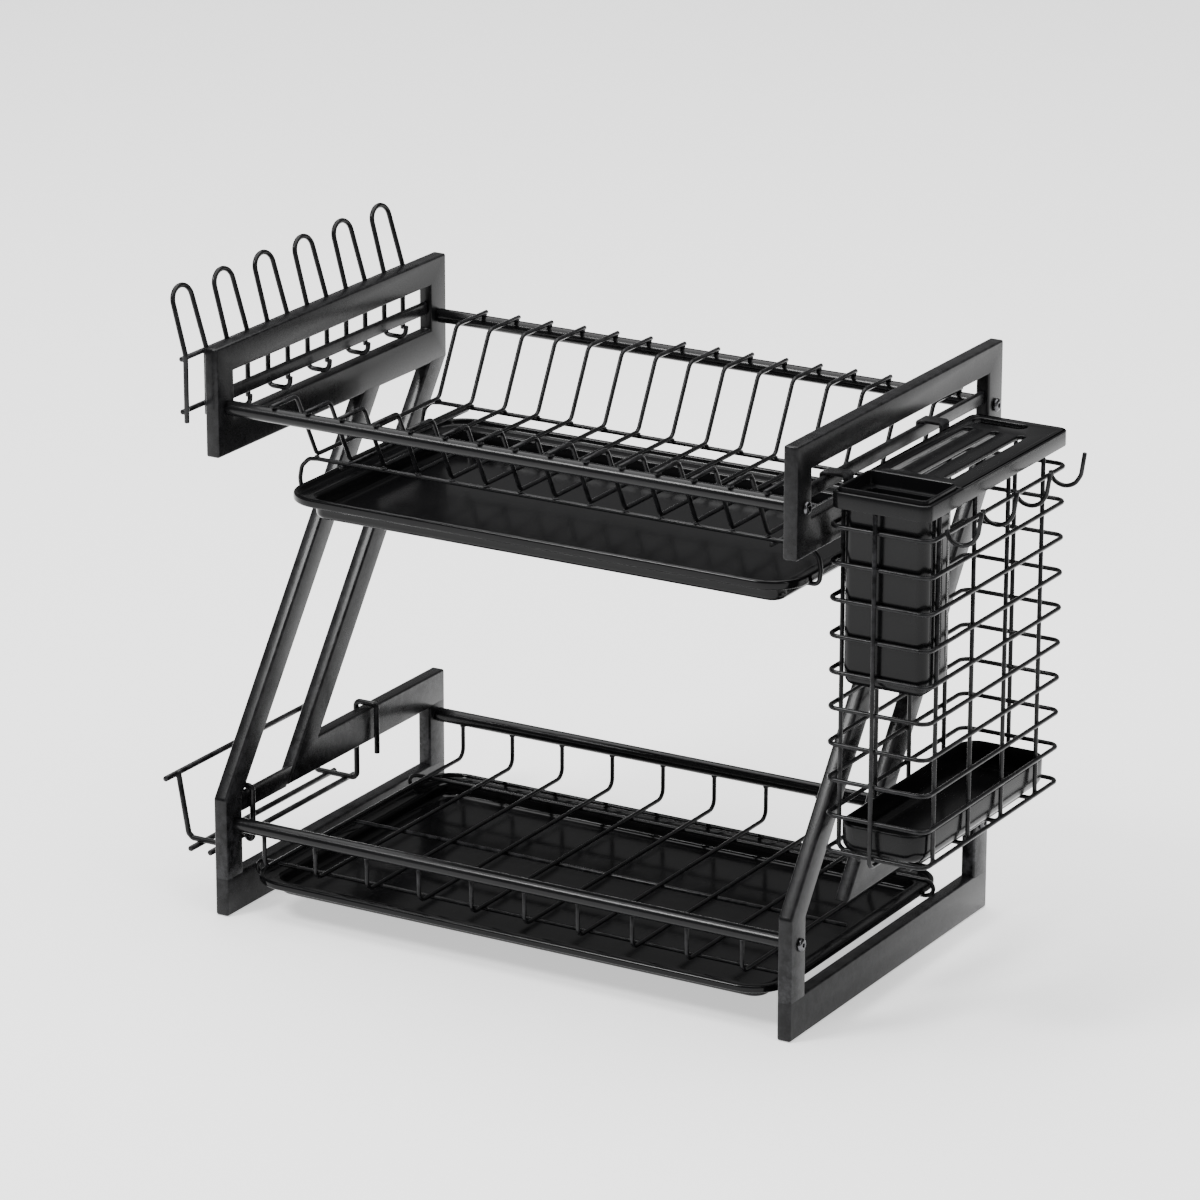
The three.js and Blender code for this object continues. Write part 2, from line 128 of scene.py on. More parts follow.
def coated(name, base, high, r0, r1, peel, peel_strength, coat, edge=(0.075, 0.075, 0.08, 1), edge_amount=0.5):
    """Paint or coating on steel: orange peel, uneven sheen, faint dust and lighter, thinner film along the edges."""
    m, t, b = tree(name)
    co = t.nodes.new("ShaderNodeTexCoord").outputs["Object"]
    cloud = noise(t, co, 14.0, 4.0, 0.6)
    fine = noise(t, co, peel, 2.0, 0.5)
    grit = noise(t, co, peel * 3.2, 2.0, 0.6)
    geo = t.nodes.new("ShaderNodeNewGeometry")
    worn = span(t, geo.outputs["Pointiness"], 0.53, 0.62, 0.0, 1.0)
    worn = math2(t, "MULTIPLY", worn, span(t, noise(t, co, 120.0, 5.0, 0.7), 0.42, 0.62, 0.0, edge_amount))
    col = mixc(t, span(t, cloud, 0.3, 0.7, 0.0, 1.0), base, high)
    col = mixc(t, worn, col, edge)
    t.links.new(col, b.inputs["Base Color"])
    rough = span(t, cloud, 0.3, 0.7, r0, r1)
    rough = math2(t, "ADD", rough, span(t, grit, 0.35, 0.65, -0.03, 0.03))
    t.links.new(rough, b.inputs["Roughness"])
    b.inputs["Metallic"].default_value = 0.0
    b.inputs["Coat Weight"].default_value = coat
    b.inputs["Coat Roughness"].default_value = 0.14
    b.inputs["Specular IOR Level"].default_value = 0.13
    bp = bump(t, fine, peel_strength, 0.00022)
    bp2 = bump(t, grit, peel_strength * 0.5, 0.00006)
    t.links.new(bp.outputs[0], bp2.inputs["Normal"])
    t.links.new(bp2.outputs[0], b.inputs["Normal"])
    return m


def plastic(name, base, high, r0, r1, coat):
    """Glossy injection-moulded plastic: slow sink waviness, hairline scratches and slightly uneven gloss."""
    m, t, b = tree(name)
    co = t.nodes.new("ShaderNodeTexCoord").outputs["Object"]
    slow = noise(t, co, 22.0, 2.0, 0.5)
    micro = noise(t, co, 2600.0, 2.0, 0.5)
    mp = t.nodes.new("ShaderNodeMapping")
    mp.inputs["Scale"].default_value = (260.0, 18.0, 60.0)
    mp.inputs["Rotation"].default_value = (0.1, 0.2, 0.5)
    t.links.new(co, mp.inputs["Vector"])
    hair = noise(t, mp.outputs[0], 6.0, 5.0, 0.75, 0.4)
    scratch = span(t, hair, 0.60, 0.72, 0.0, 1.0)
    t.links.new(mixc(t, span(t, slow, 0.3, 0.7, 0.0, 1.0), base, high), b.inputs["Base Color"])
    rough = math2(t, "ADD", span(t, slow, 0.3, 0.7, r0, r1), math2(t, "MULTIPLY", scratch, 0.10))
    t.links.new(rough, b.inputs["Roughness"])
    b.inputs["Coat Weight"].default_value = coat
    b.inputs["Coat Roughness"].default_value = 0.08
    b.inputs["IOR"].default_value = 1.46
    b.inputs["Specular IOR Level"].default_value = 0.13
    n1 = bump(t, slow, 0.10, 0.0012)
    n2 = bump(t, micro, 0.05, 0.00003)
    t.links.new(n1.outputs[0], n2.inputs["Normal"])
    t.links.new(n2.outputs[0], b.inputs["Normal"])
    return m


def blackened_steel(name):
    """Blackened screw head: fine turning rings and an uneven, slightly rubbed finish."""
    m, t, b = tree(name)
    co = t.nodes.new("ShaderNodeTexCoord").outputs["Object"]
    mp = t.nodes.new("ShaderNodeMapping")
    mp.inputs["Scale"].default_value = (4000.0, 260.0, 260.0)
    t.links.new(co, mp.inputs["Vector"])
    brush = noise(t, mp.outputs[0], 1.0, 3.0, 0.6)
    spot = noise(t, co, 420.0, 4.0, 0.6)
    t.links.new(mixc(t, span(t, spot, 0.35, 0.7, 0.0, 1.0), (0.10, 0.10, 0.105, 1), (0.05, 0.05, 0.053, 1)), b.inputs["Base Color"])
    t.links.new(span(t, brush, 0.3, 0.7, 0.16, 0.34), b.inputs["Roughness"])
    b.inputs["Metallic"].default_value = 1.0
    t.links.new(bump(t, brush, 0.12, 0.00004).outputs[0], b.inputs["Normal"])
    return m


M_TUBE = coated("black_powder_coat", (0.0035, 0.0035, 0.0038, 1), (0.006, 0.006, 0.0064, 1), 0.24, 0.34, 900.0, 0.22, 0.07)
M_RAIL = coated("black_rail_coat", (0.0032, 0.0032, 0.0035, 1), (0.0055, 0.0055, 0.006, 1), 0.20, 0.30, 1000.0, 0.18, 0.12)
M_WIRE = coated("black_wire_coat", (0.003, 0.003, 0.0033, 1), (0.005, 0.005, 0.0054, 1), 0.22, 0.32, 1500.0, 0.15, 0.06)
M_TRAY = plastic("black_tray_plastic", (0.0025, 0.0025, 0.0028, 1), (0.004, 0.004, 0.0043, 1), 0.12, 0.19, 0.08)
M_BASKET = plastic("black_basket_plastic", (0.003, 0.003, 0.0033, 1), (0.005, 0.005, 0.0053, 1), 0.18, 0.26, 0.05)
M_SCREW = blackened_steel("black_screw_steel")


# ------------------------------------------------------------------ mesh helpers
def finish_piece(name, bm, mat, nodes, body, smooth=True, angle=35.0):
    bmesh.ops.recalc_face_normals(bm, faces=bm.faces[:])
    me = bpy.data.meshes.new(name)
    bm.to_mesh(me)
    bm.free()
    ob = bpy.data.objects.new(name, me)
    bpy.context.scene.collection.objects.link(ob)
    me.materials.append(mat)
    if smooth:
        for p in me.polygons:
            p.use_smooth = True
        if angle is not None:
            me.set_sharp_from_angle(angle=math.radians(angle))
    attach(ob, body)
    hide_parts(*nodes)
    return ob


def fillet(points, radius, steps=6, closed=False):
    """Corner points in millimetres to a path whose corners are arcs of that radius where they fit."""
    P = [Vector(p) for p in points]
    n = len(P)
    out = []
    for i in range(n):
        if not closed and i in (0, n - 1):
            out.append(P[i])
            continue
        a, b, c = P[i - 1], P[i], P[(i + 1) % n]
        u, v = (a - b), (c - b)
        lu, lv = u.length, v.length
        u.normalize(); v.normalize()
        ang = u.angle(v, 0.0)
        if ang > math.pi - 0.02:
            out.append(b)
            continue
        t = radius / math.tan(ang / 2)
        t = min(t, lu * 0.48, lv * 0.48)
        r = t * math.tan(ang / 2)
        centre = b + (u + v).normalized() * (r / math.sin(ang / 2))
        s, e = b + u * t, b + v * t
        k = max(2, int(round(steps * (math.pi - ang) / (math.pi / 2))) + 1)
        vs, ve = s - centre, e - centre
        full = vs.angle(ve, 0.0)
        axis = vs.cross(ve).normalized()
        for j in range(k + 1):
            out.append(centre + Matrix.Rotation(full * j / k, 3, axis) @ vs)
    clean = [out[0]]
    for p in out[1:]:
        if (p - clean[-1]).length > 1e-3:
            clean.append(p)
    if closed and (clean[0] - clean[-1]).length < 1e-3:
        clean.pop()
    return clean


def sweep(bm, path, r, seg=12, closed=False, dome=True):
    """A round wire along a path given in design millimetres, with domed ends."""
    n = len(path)
    tang = []
    for i in range(n):
        if closed:
            t = (path[(i + 1) % n] - path[i]).normalized() + (path[i] - path[i - 1]).normalized()
        else:
            t = Vector((0, 0, 0))
            if i > 0:
                t += (path[i] - path[i - 1]).normalized()
            if i < n - 1:
                t += (path[i + 1] - path[i]).normalized()
        tang.append(t.normalized())
    ref = Vector((0, 0, 1)) if abs(tang[0].z) < 0.9 else Vector((1, 0, 0))
    side = tang[0].cross(ref).normalized()
    frames = []
    for i in range(n):
        if i > 0:
            q = tang[i - 1].rotation_difference(tang[i])
            side = (q @ side)
            side = (side - tang[i] * side.dot(tang[i])).normalized()
        frames.append((side.copy(), tang[i].cross(side).normalized()))
    rings = []

    def ring(c, a, b, rad):
        return [bm.verts.new(D(*(c + a * math.cos(2 * math.pi * k / seg) * rad + b * math.sin(2 * math.pi * k / seg) * rad))) for k in range(seg)]

    def skin(r0, r1, off=0):
        for k in range(seg):
            bm.faces.new((r0[k], r0[(k + 1) % seg], r1[(k + 1 + off) % seg], r1[(k + off) % seg]))

    for i in range(n):
        rings.append(ring(path[i], *frames[i], r))
    for i in range(n - 1):
        skin(rings[i], rings[i + 1])
    if closed:
        last_a = frames[-1][0]
        q = tang[-1].rotation_difference(tang[0])
        moved = q @ last_a
        ang = math.atan2(moved.dot(frames[0][1]), moved.dot(frames[0][0]))
        off = int(round(ang / (2 * math.pi / seg)))
        skin(rings[-1], rings[0], off)
        return
    for end in (0, n - 1):
        s = -1 if end == 0 else 1
        a, b = frames[end]
        prev = rings[end]
        if dome:
            for h in (0.4, 0.75):
                c = path[end] + tang[end] * s * (h * r * 0.55 - 0.55 * r)
                rr = r * math.sqrt(max(0.0, 1 - h * h))
                nxt = ring(path[end] + tang[end] * s * (h * r * 0.35), a, b, rr)
                if s > 0:
                    skin(prev, nxt)
                else:
                    skin(nxt, prev)
                prev = nxt
        bm.faces.new(prev if s > 0 else list(reversed(prev)))


def blob(bm, c, rx, ry, rz, seg=8, rows=5):
    """A small weld bead."""
    top = bm.verts.new(D(c[0], c[1], c[2] + rz))
    bot = bm.verts.new(D(c[0], c[1], c[2] - rz))
    rings = []
    for i in range(1, rows):
        a = math.pi * i / rows
        rings.append([bm.verts.new(D(c[0] + rx * math.sin(a) * math.cos(2 * math.pi * k / seg),
                                     c[1] + ry * math.sin(a) * math.sin(2 * math.pi * k / seg),
                                     c[2] + rz * math.cos(a))) for k in range(seg)])
    for k in range(seg):
        bm.faces.new((top, rings[0][k], rings[0][(k + 1) % seg]))
        bm.faces.new((bot, rings[-1][(k + 1) % seg], rings[-1][k]))
        for i in range(len(rings) - 1):
            bm.faces.new((rings[i][k], rings[i + 1][k], rings[i + 1][(k + 1) % seg], rings[i][(k + 1) % seg]))


def wires(name, paths, nodes, body, beads=(), mat=M_WIRE, seg=12, bend=5.0):
    """paths: (points, radius, closed) in design millimetres."""
    bm = bmesh.new()
    for item in paths:
        pts, r = item[0], item[1]
        closed = len(item) > 2 and item[2]
        rad = item[3] if len(item) > 3 else bend
        sweep(bm, fillet(pts, rad, 6, closed), r, seg, closed)
    for b in beads:
        blob(bm, *b)
    return finish_piece(name, bm, mat, nodes, body, angle=60.0)


def prism(name, outline, x0, x1, nodes, bevel=1.5, segs=3, mat=M_TUBE, body="frame", welded=()):
    """A tube outline in the Y-Z plane, from x0 to x1, with every edge rounded except round the ends welded into a neighbour, given by their heights."""
    bm = bmesh.new()
    a = [bm.verts.new(D(x0, y, z)) for y, z in outline]
    b = [bm.verts.new(D(x1, y, z)) for y, z in outline]
    n = len(outline)
    bm.faces.new(list(reversed(a)))
    bm.faces.new(b)
    for i in range(n):
        bm.faces.new((a[i], a[(i + 1) % n], b[(i + 1) % n], b[i]))
    bmesh.ops.recalc_face_normals(bm, faces=bm.faces[:])
    def at_weld(e):
        return any(all(abs((v.co.z - ORIGIN[2]) * 1000 - z) < 0.05 for v in e.verts) for z in welded)
    bmesh.ops.bevel(bm, geom=[e for e in bm.edges if not at_weld(e)], offset=bevel / 1000, offset_type="OFFSET", segments=segs, profile=0.5, affect="EDGES", clamp_overlap=True)
    return finish_piece(name, bm, mat, nodes, body, angle=40.0)


def window_frame(name, outer, inner, x0, x1, nodes, bevel=1.5):
    bm = bmesh.new()
    rows = {}
    for key, pts in (("o", outer), ("i", inner)):
        for x in (x0, x1):
            rows[key, x] = [bm.verts.new(D(x, y, z)) for y, z in pts]
    n = len(outer)
    for i in range(n):
        j = (i + 1) % n
        o0, o1, i0, i1 = rows["o", x0], rows["o", x1], rows["i", x0], rows["i", x1]
        bm.faces.new((o0[i], i0[i], i0[j], o0[j]))
        bm.faces.new((o1[i], o1[j], i1[j], i1[i]))
        bm.faces.new((o0[i], o0[j], o1[j], o1[i]))
        bm.faces.new((i0[j], i0[i], i1[i], i1[j]))
    bmesh.ops.recalc_face_normals(bm, faces=bm.faces[:])
    sharp = [e for e in bm.edges if e.calc_face_angle(0.0) > 0.5]
    bmesh.ops.bevel(bm, geom=sharp, offset=bevel / 1000, offset_type="OFFSET", segments=3, profile=0.5, affect="EDGES", clamp_overlap=True)
    return finish_piece(name, bm, M_TUBE, nodes, "frame", angle=40.0)


def rr(x0, x1, y0, y1, r, n=8):
    """A rounded rectangle in plan."""
    pts = []
    r = max(0.05, min(r, (x1 - x0) / 2 - 0.01, (y1 - y0) / 2 - 0.01))
    for cx, cy, a0 in ((x1 - r, y1 - r, 0), (x0 + r, y1 - r, 90), (x0 + r, y0 + r, 180), (x1 - r, y0 + r, 270)):
        for i in range(n + 1):
            a = math.radians(a0 + 90 * i / n)
            pts.append((cx + r * math.cos(a), cy + r * math.sin(a)))
    return pts


def lofted(bm, box, r, profile, n=8):
    """Rounded-rectangle rings: profile is [(inset, z)], closed top and bottom at the two ends of the list."""
    x0, x1, y0, y1 = box
    rings = []
    for inset, z in profile:
        pts = rr(x0 + inset, x1 - inset, y0 + inset, y1 - inset, r - inset, n)
        rings.append([bm.verts.new(D(px, py, z)) for px, py in pts])
    m = len(rings[0])
    for a, b in zip(rings, rings[1:]):
        for k in range(m):
            bm.faces.new((a[k], a[(k + 1) % m], b[(k + 1) % m], b[k]))
    bm.faces.new(list(reversed(rings[0])))
    bm.faces.new(rings[-1])


def arc(cx, cz, r, a0, a1, k=5):
    """(inset, z) points on a quarter turn; angle 0 points towards greater inset."""
    return [(cx + r * math.cos(math.radians(a0 + (a1 - a0) * i / k)), cz + r * math.sin(math.radians(a0 + (a1 - a0) * i / k))) for i in range(k + 1)]


def tray(name, box, r, body_in, z_bottom, z_flange, z_top, nodes, body, mat, wall=2.0, bead=3.4):
    """Pressed tray: rolled rim, level flange, steep filleted walls and a flat floor."""
    b = body_in
    foot = 4.5
    prof = [(b + foot + 20, z_bottom)]
    prof += arc(b + foot + 1.2, z_bottom + foot, foot, 270, 180, 6)              # outer foot
    prof += [(b + 0.4, z_flange - 1.2), (b - 0.6, z_flange)]
    prof += [(2.2, z_flange)]
    rb = min(bead, z_top - z_flange) / 2
    prof += arc(rb, z_flange + rb, rb, 255, 180, 4)                             # rolled rim, outside
    prof += arc(rb, z_top - rb, rb, 180, 0, 9)
    prof += [(2 * rb + 0.4, z_flange + 2.8), (2 * rb + 1.4, z_flange + 2.1)]
    prof += [(b - 0.8, z_flange + 2.0)]
    prof += arc(b - 0.8, z_flange + 2.0 - 2.4, 2.4, 90, 12, 4)                   # into the well
    prof += arc(b + wall + foot, z_bottom + wall + foot - 0.6, foot - 0.6, 180, 270, 6)
    prof += [(b + wall + foot + 16, z_bottom + wall)]
    bm = bmesh.new()
    lofted(bm, box, r, prof, 10)
    return finish_piece(name, bm, mat, nodes, body, angle=50.0)


def lathe_x(bm, profile, centre, sign, seg=24):
    """profile: [(distance out along X, radius)] turned round an X axis through centre; ends closed."""
    rings = []
    for d, rad in profile:
        rings.append([bm.verts.new(D(centre[0] + sign * d, centre[1] + rad * math.cos(2 * math.pi * k / seg),
                                     centre[2] + rad * math.sin(2 * math.pi * k / seg))) for k in range(seg)])
    for a, b in zip(rings, rings[1:]):
        for k in range(seg):
            bm.faces.new((a[k], a[(k + 1) % seg], b[(k + 1) % seg], b[k]))
    bm.faces.new(list(reversed(rings[0])))
    bm.faces.new(rings[-1])


# ------------------------------------------------------------------ side frames
def leg_ya(z): return (z - LEG_A_Z) / SLOPE
def leg_yb(z): return TIER_Y0 + (z - TIER_Z0) / SLOPE


for side in ("left", "right"):
    x0 = 0.0 if side == "left" else W - TUBE_X
    x1 = x0 + TUBE_X
    top = Z_UP + 1.6
    foot = BASE_H - 1.6
    prism(side + "_base_rail_tube", [(0, 0), (D_LOW, 0), (D_LOW, BASE_H), (0, BASE_H)], x0, x1, [side + "_base_rail"])
    back_a = LEG_A_Z + SLOPE * (POST_Y - RUN)
    prism(side + "_front_leg_tube", [(0, foot), (POST_Y, foot), (POST_Y, back_a),
                                     (leg_ya(top) + RUN, top), (leg_ya(top), top), (0, LEG_A_Z)], x0, x1, [side + "_front_leg"], welded=(foot, top))
    y_top = TIER_Y0 + RUN + (TIER_Z1 - TIER_Z0) / SLOPE
    prism(side + "_rear_leg_tube", [(TIER_Y0, TIER_Z0), (D_LOW, TIER_Z0), (D_LOW, TIER_Z1), (y_top, TIER_Z1),
                                    (min(leg_yb(top) + RUN, D_UP), top), (leg_yb(top), top)], x0, x1, [side + "_rear_leg"], welded=(top,))
    prism(side + "_rear_post_tube", [(D_LOW - POST_Y, foot), (D_LOW, foot), (D_LOW, TIER_Z0 + 1.6), (D_LOW - POST_Y, TIER_Z0 + 1.6)],
          x0, x1, [side + "_rear_post"], welded=(foot, TIER_Z0 + 1.6))
    window_frame(side + "_upper_frame_loop", [(0, Z_UP), (D_UP, Z_UP), (D_UP, H), (0, H)],
                 [(POST_Y, Z_UP + UP_BOTTOM_H), (D_UP - POST_Y, Z_UP + UP_BOTTOM_H), (D_UP - POST_Y, H - UP_TOP_H), (POST_Y, H - UP_TOP_H)],
                 x0, x1, [side + "_upper_frame"])
    prism(side + "_mid_bar_strip", [(POST_Y + GAP, MID_Z0), (D_UP - POST_Y - GAP, MID_Z0), (D_UP - POST_Y - GAP, MID_Z1), (POST_Y + GAP, MID_Z1)],
          x0 + 3, x0 + 7, [side + "_mid_bar"], bevel=1.2)

prism("left_hook_strip_bar", [(POST_Y + GAP, 70.2), (TIER_Y0 - 1.2, 70.2), (TIER_Y0 + 6, 80.5), (TIER_Y0 + 7, 83.7), (POST_Y + 3, 83.7), (POST_Y + GAP, 80)],
      6.6, 9.6, ["left_hook_strip"], bevel=0.7, segs=2)

# ------------------------------------------------------------------ cross rails and screws
for name, (y, z) in RAILS.items():
    bm = bmesh.new()
    a, b = TUBE_X + GAP, W - TUBE_X - GAP
    prof = [(a, 3.2), (a + 0.1, 4.4), (a + 0.6, 4.95), (a + 1.6, 5.0)]
    prof += [(a + 1.6 + (b - a - 3.2) * i / 12, 5.0) for i in range(1, 12)]
    prof += [(b - 1.6, 5.0), (b - 0.6, 4.95), (b - 0.1, 4.4), (b, 3.2)]
    lathe_x(bm, prof, (0, y, z), 1, 28)
    finish_piece(name + "_tube", bm, M_RAIL, [name], "frame", angle=50.0)
    for side in ("left", "right"):
        s = -1 if side == "left" else 1
        face = -GAP if side == "left" else W + GAP
        node = side + "_" + name.replace("_rail", "") + "_screw"
        bm = bmesh.new()
        # shank, then a domed head with a hexagonal socket
        prof = [(-21, 1.6), (-20.4, 2.45), (-0.2, 2.45), (0.0, 4.2), (0.35, 4.5), (0.9, 4.5), (1.5, 4.25), (2.05, 3.7), (2.4, 2.9), (2.5, 2.3), (2.45, 2.0)]
        seg = 24
        rings = []
        for d, rad in prof:
            rings.append([bm.verts.new(D(face + s * d, y + rad * math.cos(2 * math.pi * k / seg), z + rad * math.sin(2 * math.pi * k / seg))) for k in range(seg)])

        def hexr(k, flat):
            ang = (2 * math.pi * k / seg) % (math.pi / 3)
            return flat / math.cos(ang - math.pi / 6)
        for d in (2.3, 1.0):
            rings.append([bm.verts.new(D(face + s * d, y + hexr(k, 1.45) * math.cos(2 * math.pi * k / seg), z + hexr(k, 1.45) * math.sin(2 * math.pi * k / seg))) for k in range(seg)])
        for p, q in zip(rings, rings[1:]):
            for k in range(seg):
                bm.faces.new((p[k], p[(k + 1) % seg], q[(k + 1) % seg], q[k]))
        bm.faces.new(rings[0])
        bm.faces.new(list(reversed(rings[-1])))
        finish_piece(node + "_socket", bm, M_SCREW, [node], "frame", angle=35.0)

# ------------------------------------------------------------------ plate rack
DIV_N, DIV_X0, DIV_PITCH, DIV_TOP, DIV_BOT = 15, 47.0, 26.4, 364.3, 318.0
V0, V1, CARRY = 62.0, 216.0, 314.7
for i in range(DIV_N):
    x = DIV_X0 + i * DIV_PITCH
    node = "plate_divider_%02d" % (i + 1)
    wires(node + "_wire", [([(x, 8.5, DIV_TOP), (x, 38, DIV_TOP), (x, V0, DIV_BOT), (x, V1, DIV_BOT), (x, V1 + 24, DIV_TOP), (x, 279.5, DIV_TOP)], WR, False, 6.0)],
          [node], "frame", beads=[((x, 12, 363.0), 2.3, 2.6, 1.1), ((x, 276, 363.0), 2.3, 2.6, 1.1)])

UX0, UX1 = 38.0, 424.0
UC = (UX0 + UX1) / 2
loop = [(51, 289.9), (37, 289.9), (34.2, 292.4), (33.3, 299.5), (34.8, 308), (40.5, 313.8), (48, CARRY)]


def looped(y, z_loop, c):
    left = [(x, y, z) for x, z in z_loop]
    return left + [(2 * c - x, y, z) for x, z in reversed(z_loop)]


beads = []
for y in (V0, V1, 139.0):
    for i in range(DIV_N):
        x = DIV_X0 + i * DIV_PITCH
        if y != 139.0 or 1 <= i < DIV_N - 1:
            beads.append(((x, y, (CARRY + DIV_BOT) / 2), 2.0, 2.0, 1.0))
wires("plate_rack_carrier_wires", [
    (looped(V0, loop, UC), WR, False, 6.0), (looped(V1, loop, UC), WR, False, 6.0),
    ([(62, 139, CARRY), (2 * UC - 62, 139, CARRY)], WR),
    ([(68, V0 - 3, CARRY - 2.6), (68, V1 + 3, CARRY - 2.6)], WR),
    ([(2 * UC - 68, V0 - 3, CARRY - 2.6), (2 * UC - 68, V1 + 3, CARRY - 2.6)], WR),
], ["plate_rack_carrier"], "frame", beads=beads)

# ------------------------------------------------------------------ trays
tray("upper_drip_tray_shell", (38, 424, 28, 245), 26, 14, 279, 291.8, 298, ["upper_drip_tray"], "upper_drip_tray", M_TRAY)
tray("lower_drip_tray_shell", (20, 426, 6, 256), 26, 13, 15.5, 24.4, 29.6, ["lower_drip_tray"], "lower_drip_tray", M_TRAY)

# ------------------------------------------------------------------ bowl rack
BN, BX0, BP = 10, 32.0, 41.0
RIM, BOT, BC = 58.5, 35.6, 33.5
Y0, Y1 = 13.0, 269.0
LC = 223.0
lloop = [(30, 22.5), (20.5, 22.5), (16.3, 24.1), (14.4, 28), (16.2, 31.9), (20.6, BC), (30, BC)]
paths = []
beads = []
for i in range(BN):
    x = BX0 + i * BP
    paths.append(([(x, Y0, RIM + 1.2), (x, Y0, BOT), (x, Y1, BOT), (x, Y1, RIM + 1.2)], WR, False, 7.0))
    for y in (30, 125, 225):
        beads.append(((x, y, (BC + BOT) / 2), 1.9, 1.9, 1.0))
    for y in (Y0, Y1):
        beads.append(((x, y, RIM + 0.6), 2.3, 2.3, 1.3))
paths += [(looped(30, lloop, LC), WR, False, 5.0), (looped(225, lloop, LC), WR, False, 5.0), ([(28.4, 125, BC), (417.6, 125, BC)], WR)]
wires("bowl_rack_wires", paths, ["bowl_rack"], "frame", beads=beads)

# ------------------------------------------------------------------ glass and mug holder
CR = 1.75
LX = -2.35
paths, beads = [], []
for i in range(6):
    c, h = -6 + 48.5 * i, 12.0
    p = [(LX, c + h, 353), (LX, c + h, 399), (-12, c + h - 1, 433)]
    p += [(-12 - 2.0 * math.sin(math.radians(a)), c + (h - 1) * math.cos(math.radians(a)), 433 + 9.0 * math.sin(math.radians(a))) for a in range(15, 180, 15)]
    p += [(-12, c - h + 1, 433), (LX, c - h, 399)]
    if i > 0:
        p += [(LX, c - h, 357), (0.5, c - h, 354.6), (12, c - h, 354.6), (15, c - h, 357.5), (15.4, c - h, 362.5)]
    else:
        p += [(LX, c - h, 353)]
    paths.append((p, CR, False, 8.0))
    for y in (c - h, c + h):
        for z in (396, 360):
            beads.append(((LX - 1.3, y, z), 1.5, 1.9, 2.2))
for z in (396, 360):
    paths.append(([(LX - 2.6, -19.3, z), (LX - 2.6, 250.5, z)], CR))
wires("cup_holder_wires", paths, ["cup_holder"], "frame", beads=beads, bend=8.0)

# ------------------------------------------------------------------ board holder
BR = 2.0


def arm(y, zh, inner):
    return [(x, y, z) for x, z in inner] + [(13.6, y, zh - 1.6), (11.4, y, zh), (-1, y, zh), (-3.4, y, zh - 2), (-3.4, y, 43), (-6, y, 40), (-36, y, 40), (-39.4, y, 43), (-47, y, 86)]


paths = [(arm(27, 86.6, [(7.6, 53.5), (8.8, 49.4), (11.2, 48), (13, 50), (13.6, 54)]), BR, False, 2.5), (arm(184, 97.6, [(13.6, 62)]), BR, False, 3.0)]
for x, z in ((-14, 37.0), (-30, 37.0), (-49.4, 84)):
    paths.append(([(x, 15, z), (x, 196, z)], BR))
beads = [((x, y, 38.6), 2.3, 2.3, 1.4) for x in (-14, -30) for y in (27, 184)] + [((-48.0, y, 84), 1.6, 2.3, 2.3) for y in (27, 184)]
wires("board_holder_wires", paths, ["board_holder"], "frame", beads=beads)

# ------------------------------------------------------------------ utensil basket
bx0, bx1, by0, by1, bz0, bp = 455.5, 527.0, 21.5, 213.5, 128.6, 24.1
ups = (37, 86, 133, 183)
paths, beads = [], []
for k in range(10):
    z = bz0 + bp * k
    paths.append(([(bx0, by0, z), (bx1, by0, z), (bx1, by1, z), (bx0, by1, z)], WR, True, 7.0))
    for y in ups:
        beads.append(((bx0 + 1.1, y, z), 1.3, 1.9, 1.9))
        beads.append(((bx1 - 1.1, y, z), 1.3, 1.9, 1.9))
    beads.append(((489, by0 - 1.1, z), 1.9, 1.3, 1.9))
    beads.append(((489, by1 + 1.1, z), 1.9, 1.3, 1.9))
for y in ups:
    paths.append(([(bx0 + 2.1, y, 357.6), (bx0 + 2.1, y, 124.4), (bx1 - 2.1, y, 124.4), (bx1 - 2.1, y, 357.6)], WR, False, 5.0))
paths.append(([(489, by0 - 2.1, 357.6), (489, by0 - 2.1, 122.6), (489, by1 + 2.1, 122.6), (489, by1 + 2.1, 357.6)], WR, False, 5.0))
for x in (475, 511):
    paths.append(([(x, 31, 122.3), (x, 189, 122.3)], WR))
wires("basket_cage", paths, ["basket_left_panel", "basket_right_panel", "basket_front_panel", "basket_back_panel", "basket_floor"], "frame", beads=beads)

for node, y in (("basket_front_hanger", 52), ("basket_back_hanger", 184)):
    bm = bmesh.new()
    zt = MID_Z1 + GAP
    xo = bx0 - WR - GAP
    centre = [(xo - 1, 300.5), (xo - 1, zt + 1), (W - 8.4, zt + 1), (W - 8.4, 361.5)]
    pts = [Vector((x, y, z)) for x, z in centre]
    path = fillet([tuple(p) for p in pts], 1.6, 4)
    rings = []
    for i, p in enumerate(path):
        t = Vector((0, 0, 0))
        if i > 0:
            t += (p - path[i - 1]).normalized()
        if i < len(path) - 1:
            t += (path[i + 1] - p).normalized()
        t.normalize()
        nrm = Vector((t.z, 0, -t.x))
        hw, ht, c = 5.9, 0.95, 0.35
        sec = [(-hw, -ht + c), (-hw + c, -ht), (hw - c, -ht), (hw, -ht + c), (hw, ht - c), (hw - c, ht), (-hw + c, ht), (-hw, ht - c)]
        rings.append([bm.verts.new(D(*(p + Vector((0, a, 0)) + nrm * b))) for a, b in sec])
    for p, q in zip(rings, rings[1:]):
        for k in range(8):
            bm.faces.new((p[k], p[(k + 1) % 8], q[(k + 1) % 8], q[k]))
    bm.faces.new(list(reversed(rings[0])))
    bm.faces.new(rings[-1])
    finish_piece(node + "_strap", bm, M_TUBE, [node], "frame", angle=30.0)

